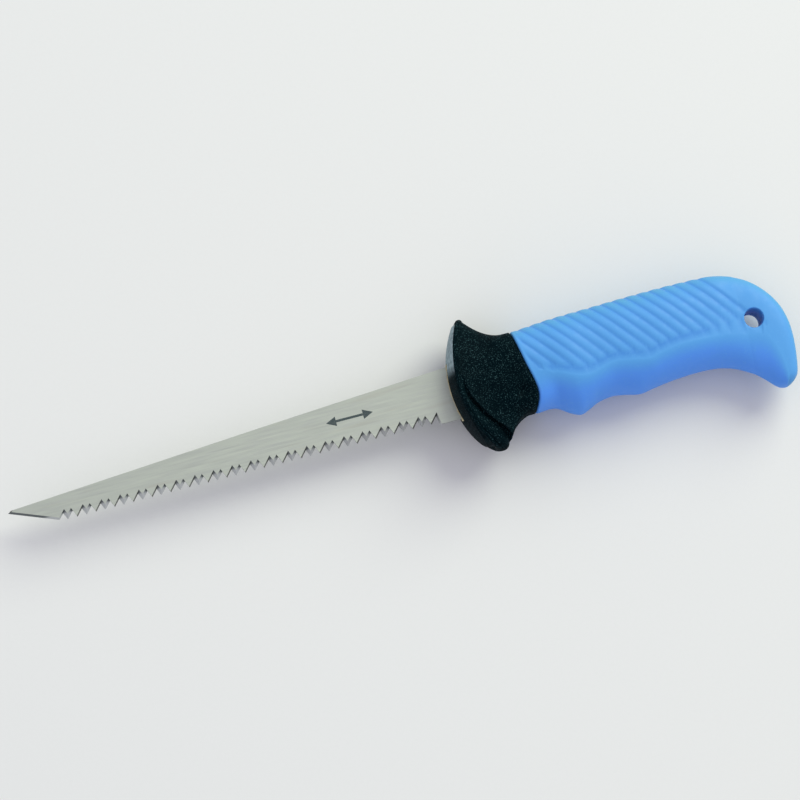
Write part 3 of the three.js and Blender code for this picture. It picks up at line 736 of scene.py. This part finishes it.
class Surface:
    """A node material under construction, with noise read in the object's own metres."""

    def __init__(self, name, colour, roughness, metallic=0.0, specular=0.5):
        self.material = bpy.data.materials.new(name)
        self.material.use_nodes = True
        self.tree = self.material.node_tree
        self.shader = self.tree.nodes["Principled BSDF"]
        self.shader.inputs["Base Color"].default_value = (*colour, 1)
        self.shader.inputs["Roughness"].default_value = roughness
        self.shader.inputs["Metallic"].default_value = metallic
        self.shader.inputs["Specular IOR Level"].default_value = specular
        self.place = self.node("ShaderNodeTexCoord").outputs["Object"]

    def node(self, kind, **settings):
        made = self.tree.nodes.new(kind)
        for key, value in settings.items():
            setattr(made, key, value)
        return made

    def link(self, source, target):
        self.tree.links.new(source, target)

    def noise(self, size_mm, detail=3.0, stretch=(1, 1, 1)):
        """Noise with features of about the given size, longer by `stretch` along each axis."""
        mapping = self.node("ShaderNodeMapping")
        mapping.inputs["Scale"].default_value = [1 / (size_mm * MM * k) for k in stretch]
        self.link(self.place, mapping.inputs["Vector"])
        texture = self.node("ShaderNodeTexNoise")
        texture.inputs["Scale"].default_value = 1
        texture.inputs["Detail"].default_value = detail
        self.link(mapping.outputs["Vector"], texture.inputs["Vector"])
        return texture.outputs["Fac"]

    def between(self, axis, low_mm, high_mm):
        """0 to 1 between two places along an axis, in the saw's millimetres."""
        split = self.node("ShaderNodeSeparateXYZ")
        self.link(self.place, split.inputs[0])
        start = ORIGIN["XYZ".index(axis)]
        return self.levels(split.outputs[axis], start + low_mm * MM, start + high_mm * MM)

    def attribute(self, name):
        """A number stored on the mesh's points or faces."""
        return self.node("ShaderNodeAttribute", attribute_name=name).outputs["Fac"]

    def levels(self, value, low, high, to_low=0.0, to_high=1.0):
        """The value's stretch from low to high, spread smoothly over the range from to_low to to_high."""
        made = self.node("ShaderNodeMapRange", interpolation_type="SMOOTHSTEP")
        for key, number in zip(("From Min", "From Max", "To Min", "To Max"), (low, high, to_low, to_high)):
            made.inputs[key].default_value = number
        self.link(value, made.inputs["Value"])
        return made.outputs["Result"]

    def product(self, a, b):
        made = self.node("ShaderNodeMath", operation="MULTIPLY")
        self.link(a, made.inputs[0])
        self.link(b, made.inputs[1])
        return made.outputs[0]

    def tint(self, factor, colour):
        """Mixes a colour into the base colour by the factor."""
        made = self.node("ShaderNodeMix", data_type="RGBA", blend_type="MIX")
        base = self.shader.inputs["Base Color"]
        if base.is_linked:
            self.link(base.links[0].from_socket, made.inputs["A"])
        else:
            made.inputs["A"].default_value = base.default_value
        made.inputs["B"].default_value = (*colour, 1)
        self.link(factor, made.inputs["Factor"])
        self.link(made.outputs["Result"], base)

    def rough(self, value, low, high):
        """Roughness between low and high by a noise."""
        self.link(self.levels(value, 0.3, 0.7, low, high), self.shader.inputs["Roughness"])

    def bump(self, height, depth_mm):
        """Fine relief of the given depth, on top of any before it."""
        made = self.node("ShaderNodeBump")
        made.inputs["Strength"].default_value = 1.0
        made.inputs["Distance"].default_value = depth_mm * MM
        self.link(height, made.inputs["Height"])
        normal = self.shader.inputs["Normal"]
        if normal.is_linked:
            self.link(normal.links[0].from_socket, made.inputs["Normal"])
        self.link(made.outputs["Normal"], normal)


def grip_rubber():
    """Matt blue rubber, with painted light and shade: a bluer painted shade below, a greener painted light on
    top, painted shade between the ribs and a dark painted shade on the hang hole's wall.
    """
    s = Surface("grip_rubber", (0.08, 0.315, 0.71), 0.5, specular=0.3)
    # Painted light: a little greener on top, where the key light falls.
    s.tint(s.attribute("over"), (0.083, 0.335, 0.6))
    # Painted shade: bluer and deeper on the underside.
    s.tint(s.attribute("under"), (0.08, 0.285, 0.85))
    # Painted shade: deeper in the rib valleys.
    s.tint(s.attribute("rib_shade"), (0.055, 0.245, 0.65))
    # Painted shade: dark navy on the hang hole's wall.
    s.tint(s.attribute("bore_shade"), (0.025, 0.075, 0.42))
    s.tint(s.levels(s.noise(14), 0.4, 0.75, 0, 0.35), (0.07, 0.285, 0.67))
    s.tint(s.levels(s.noise(0.8, 4), 0.5, 0.8, 0, 0.3), (0.11, 0.365, 0.75))
    s.rough(s.noise(2.5), 0.46, 0.6)
    s.bump(s.noise(0.35, 2), 0.012)
    return s.material


def guard_plastic():
    """Almost black plastic with a fine grain of teal specks that partly stand in for painted glints, and a
    pale painted sheen high on the front face.
    """
    s = Surface("guard_plastic", (0.0003, 0.0045, 0.007), 0.5, specular=0.012)
    # Teal specks: the plastic's grain, partly painted glints of its rough surface.
    s.tint(s.levels(s.noise(0.34, 1), 0.57, 0.75, 0, 0.8), (0.045, 0.10, 0.11))
    s.tint(s.levels(s.noise(6), 0.45, 0.7, 0, 0.4), (0.0004, 0.003, 0.005))
    # Painted highlight: the pale sheen high on the front face.
    s.tint(s.product(s.attribute("front_sheen"), s.levels(s.noise(1.1, 4), 0.3, 0.7, 0.55, 1)), (0.33, 0.43, 0.46))
    s.rough(s.noise(0.5), 0.42, 0.62)
    s.bump(s.noise(0.4, 2), 0.05)
    return s.material


def blade_steel():
    """Satin steel, brushed along the blade."""
    s = Surface("blade_steel", (0.505, 0.54, 0.475), 0.4, metallic=1.0)
    s.tint(s.levels(s.noise(0.25, 4, (50, 1, 1)), 0.35, 0.7, 0, 0.5), (0.445, 0.48, 0.425))
    s.tint(s.levels(s.noise(1.3, 4, (5, 1, 1)), 0.45, 0.75, 0, 0.4), (0.46, 0.48, 0.455))
    s.tint(s.levels(s.noise(2.2, 3, (9, 1, 1)), 0.55, 0.75, 0, 0.3), (0.44, 0.425, 0.36))
    s.rough(s.noise(0.4, 3, (40, 1, 1)), 0.34, 0.46)
    s.bump(s.noise(0.15, 3, (80, 1, 1)), 0.01)
    return s.material


def ground_steel():
    """Ground facets: darker towards the handle, with painted shade in the gullets, and darker on the marked
    back flanks.
    """
    s = Surface("ground_steel", (0.52, 0.545, 0.53), 0.5, metallic=1.0)
    # Darker towards the handle, in patches.
    darkened = s.product(s.between("X", -120, -20), s.levels(s.noise(1.6, 3), 0.3, 0.55, 0.3, 0.85))
    s.tint(s.levels(darkened, 0, 1, 0, 0.4), (0.2, 0.2, 0.19))
    # Painted shade: dark in the gullets.
    s.tint(s.levels(s.between("Y", 1.7, 3.0), 0, 1, 0, 0.85), (0.09, 0.105, 0.105))
    # Darker on the marked back flanks and the point's end.
    s.tint(s.levels(s.attribute("dark_facet"), 0, 1, 0, 0.75), (0.1, 0.1, 0.08))
    s.rough(s.noise(0.3, 3), 0.35, 0.6)
    s.bump(s.noise(0.12, 3, (1, 1, 8)), 0.015)
    return s.material


def etched_mark():
    """The dark grey of an etched mark, worn paler in spots."""
    s = Surface("etched_mark", (0.03, 0.05, 0.055), 0.6)
    s.tint(s.levels(s.noise(0.4, 3), 0.5, 0.75, 0, 0.6), (0.14, 0.16, 0.15))
    s.rough(s.noise(0.5), 0.5, 0.7)
    return s.material


def sealant_resin():
    """Amber resin with browner patches."""
    s = Surface("sealant_resin", (0.56, 0.49, 0.29), 0.3)
    s.tint(s.levels(s.noise(1.5, 3), 0.45, 0.7), (0.34, 0.27, 0.12))
    s.rough(s.noise(0.8), 0.25, 0.45)
    s.bump(s.noise(0.9, 3), 0.06)
    return s.material


def core_plastic():
    """Charcoal moulded plastic with flow lines along the core."""
    s = Surface("core_plastic", (0.035, 0.037, 0.04), 0.5)
    s.tint(s.levels(s.noise(0.5, 3, (4, 1, 1)), 0.5, 0.75, 0, 0.5), (0.09, 0.09, 0.095))
    s.rough(s.noise(1.2), 0.42, 0.62)
    s.bump(s.noise(0.6, 3), 0.02)
    return s.material


def pin_steel():
    """Plain steel, drawn along the pins."""
    s = Surface("pin_steel", (0.55, 0.55, 0.53), 0.35, metallic=1.0)
    s.tint(s.levels(s.noise(0.3, 3, (1, 1, 20)), 0.4, 0.7, 0, 0.6), (0.4, 0.4, 0.39))
    s.rough(s.noise(0.5), 0.28, 0.45)
    s.bump(s.noise(0.2, 3, (1, 1, 15)), 0.01)
    return s.material


def floor_paper():
    """Pale matt paper."""
    s = Surface("floor_paper", (0.745, 0.75, 0.75), 0.9, specular=0.1)
    s.tint(s.levels(s.noise(1.2, 4), 0.4, 0.7, 0, 0.15), (0.715, 0.72, 0.72))
    return s.material


def make_camera():
    """A long lens almost straight above, tipped a little towards the point and the teeth."""
    target = ORIGIN + Vector(VIEW_TARGET) * MM
    back = Vector(VIEW_BACK).normalized()
    along_x = (Vector((1, 0, 0)) - back * back.x).normalized()
    across = back.cross(along_x)
    right = math.cos(VIEW_ROLL) * along_x - math.sin(VIEW_ROLL) * across
    up = math.sin(VIEW_ROLL) * along_x + math.cos(VIEW_ROLL) * across
    camera_data = bpy.data.cameras.new("camera")
    camera_data.sensor_width = SENSOR_WIDTH
    camera_data.lens = SENSOR_WIDTH * VIEW_DISTANCE / (VIEW_WIDTH * MM)
    camera_data.clip_end = 20
    camera = bpy.data.objects.new("camera", camera_data)
    turn = Matrix((right, up, back)).transposed().to_4x4()
    camera.matrix_world = Matrix.Translation(target + back * VIEW_DISTANCE) @ turn
    bpy.context.scene.collection.objects.link(camera)
    bpy.context.scene.camera = camera


def make_key():
    """One large round light towards the pommel and the spine, aimed at the middle of the frame."""
    data = bpy.data.lights.new("key", "AREA")
    data.shape = "DISK"
    data.size = KEY_SIZE
    data.energy = KEY_POWER
    data.color = KEY_COLOUR
    light = bpy.data.objects.new("key", data)
    light.location = KEY_PLACE
    light.rotation_euler = (-Vector(KEY_PLACE)).to_track_quat("-Z", "Y").to_euler()
    bpy.context.scene.collection.objects.link(light)


def make_floor():
    mesh = bpy.data.meshes.new("floor")
    s = FLOOR_HALF
    mesh.from_pydata([(-s, -s, 0), (s, -s, 0), (s, s, 0), (-s, s, 0)], [], [(0, 1, 2, 3)])
    floor = bpy.data.objects.new("floor", mesh)
    bpy.context.scene.collection.objects.link(floor)
    floor.data.materials.append(floor_paper())


def make_sky():
    world = bpy.data.worlds.new("studio")
    bpy.context.scene.world = world
    world.use_nodes = True
    background = world.node_tree.nodes["Background"]
    background.inputs["Color"].default_value = (*SKY_COLOUR, 1)
    background.inputs["Strength"].default_value = 1.0


def place(piece, slot, *materials, instead_of=None):
    """Gives a piece its materials and its part in the frame."""
    for made in materials:
        piece.data.materials.append(made)
    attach(piece, "root")
    if instead_of:
        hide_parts(instead_of)


place(make_grip(), "grip_rubber", grip_rubber(), instead_of="grip")
place(make_guard(), "guard_plastic", guard_plastic(), instead_of="guard")
place(make_blade(), "blade_steel", blade_steel(), ground_steel(), instead_of="blade")
place(make_mark(), "blade_steel", etched_mark())
place(make_sealant(), "sealant_resin", sealant_resin(), instead_of="slot_sealant")

# The pieces inside stay as the CAD has them and only get a material.
CORE, PIN = core_plastic(), pin_steel()
INSIDE = {"core_left": CORE, "core_right": CORE, "tang_pin_front": PIN, "tang_pin_rear": PIN}
for node, material in INSIDE.items():
    for material_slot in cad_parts[node].material_slots:
        material_slot.material = material

make_camera()
make_floor()
make_sky()
make_key()
bpy.context.scene.view_settings.view_transform = "Standard"
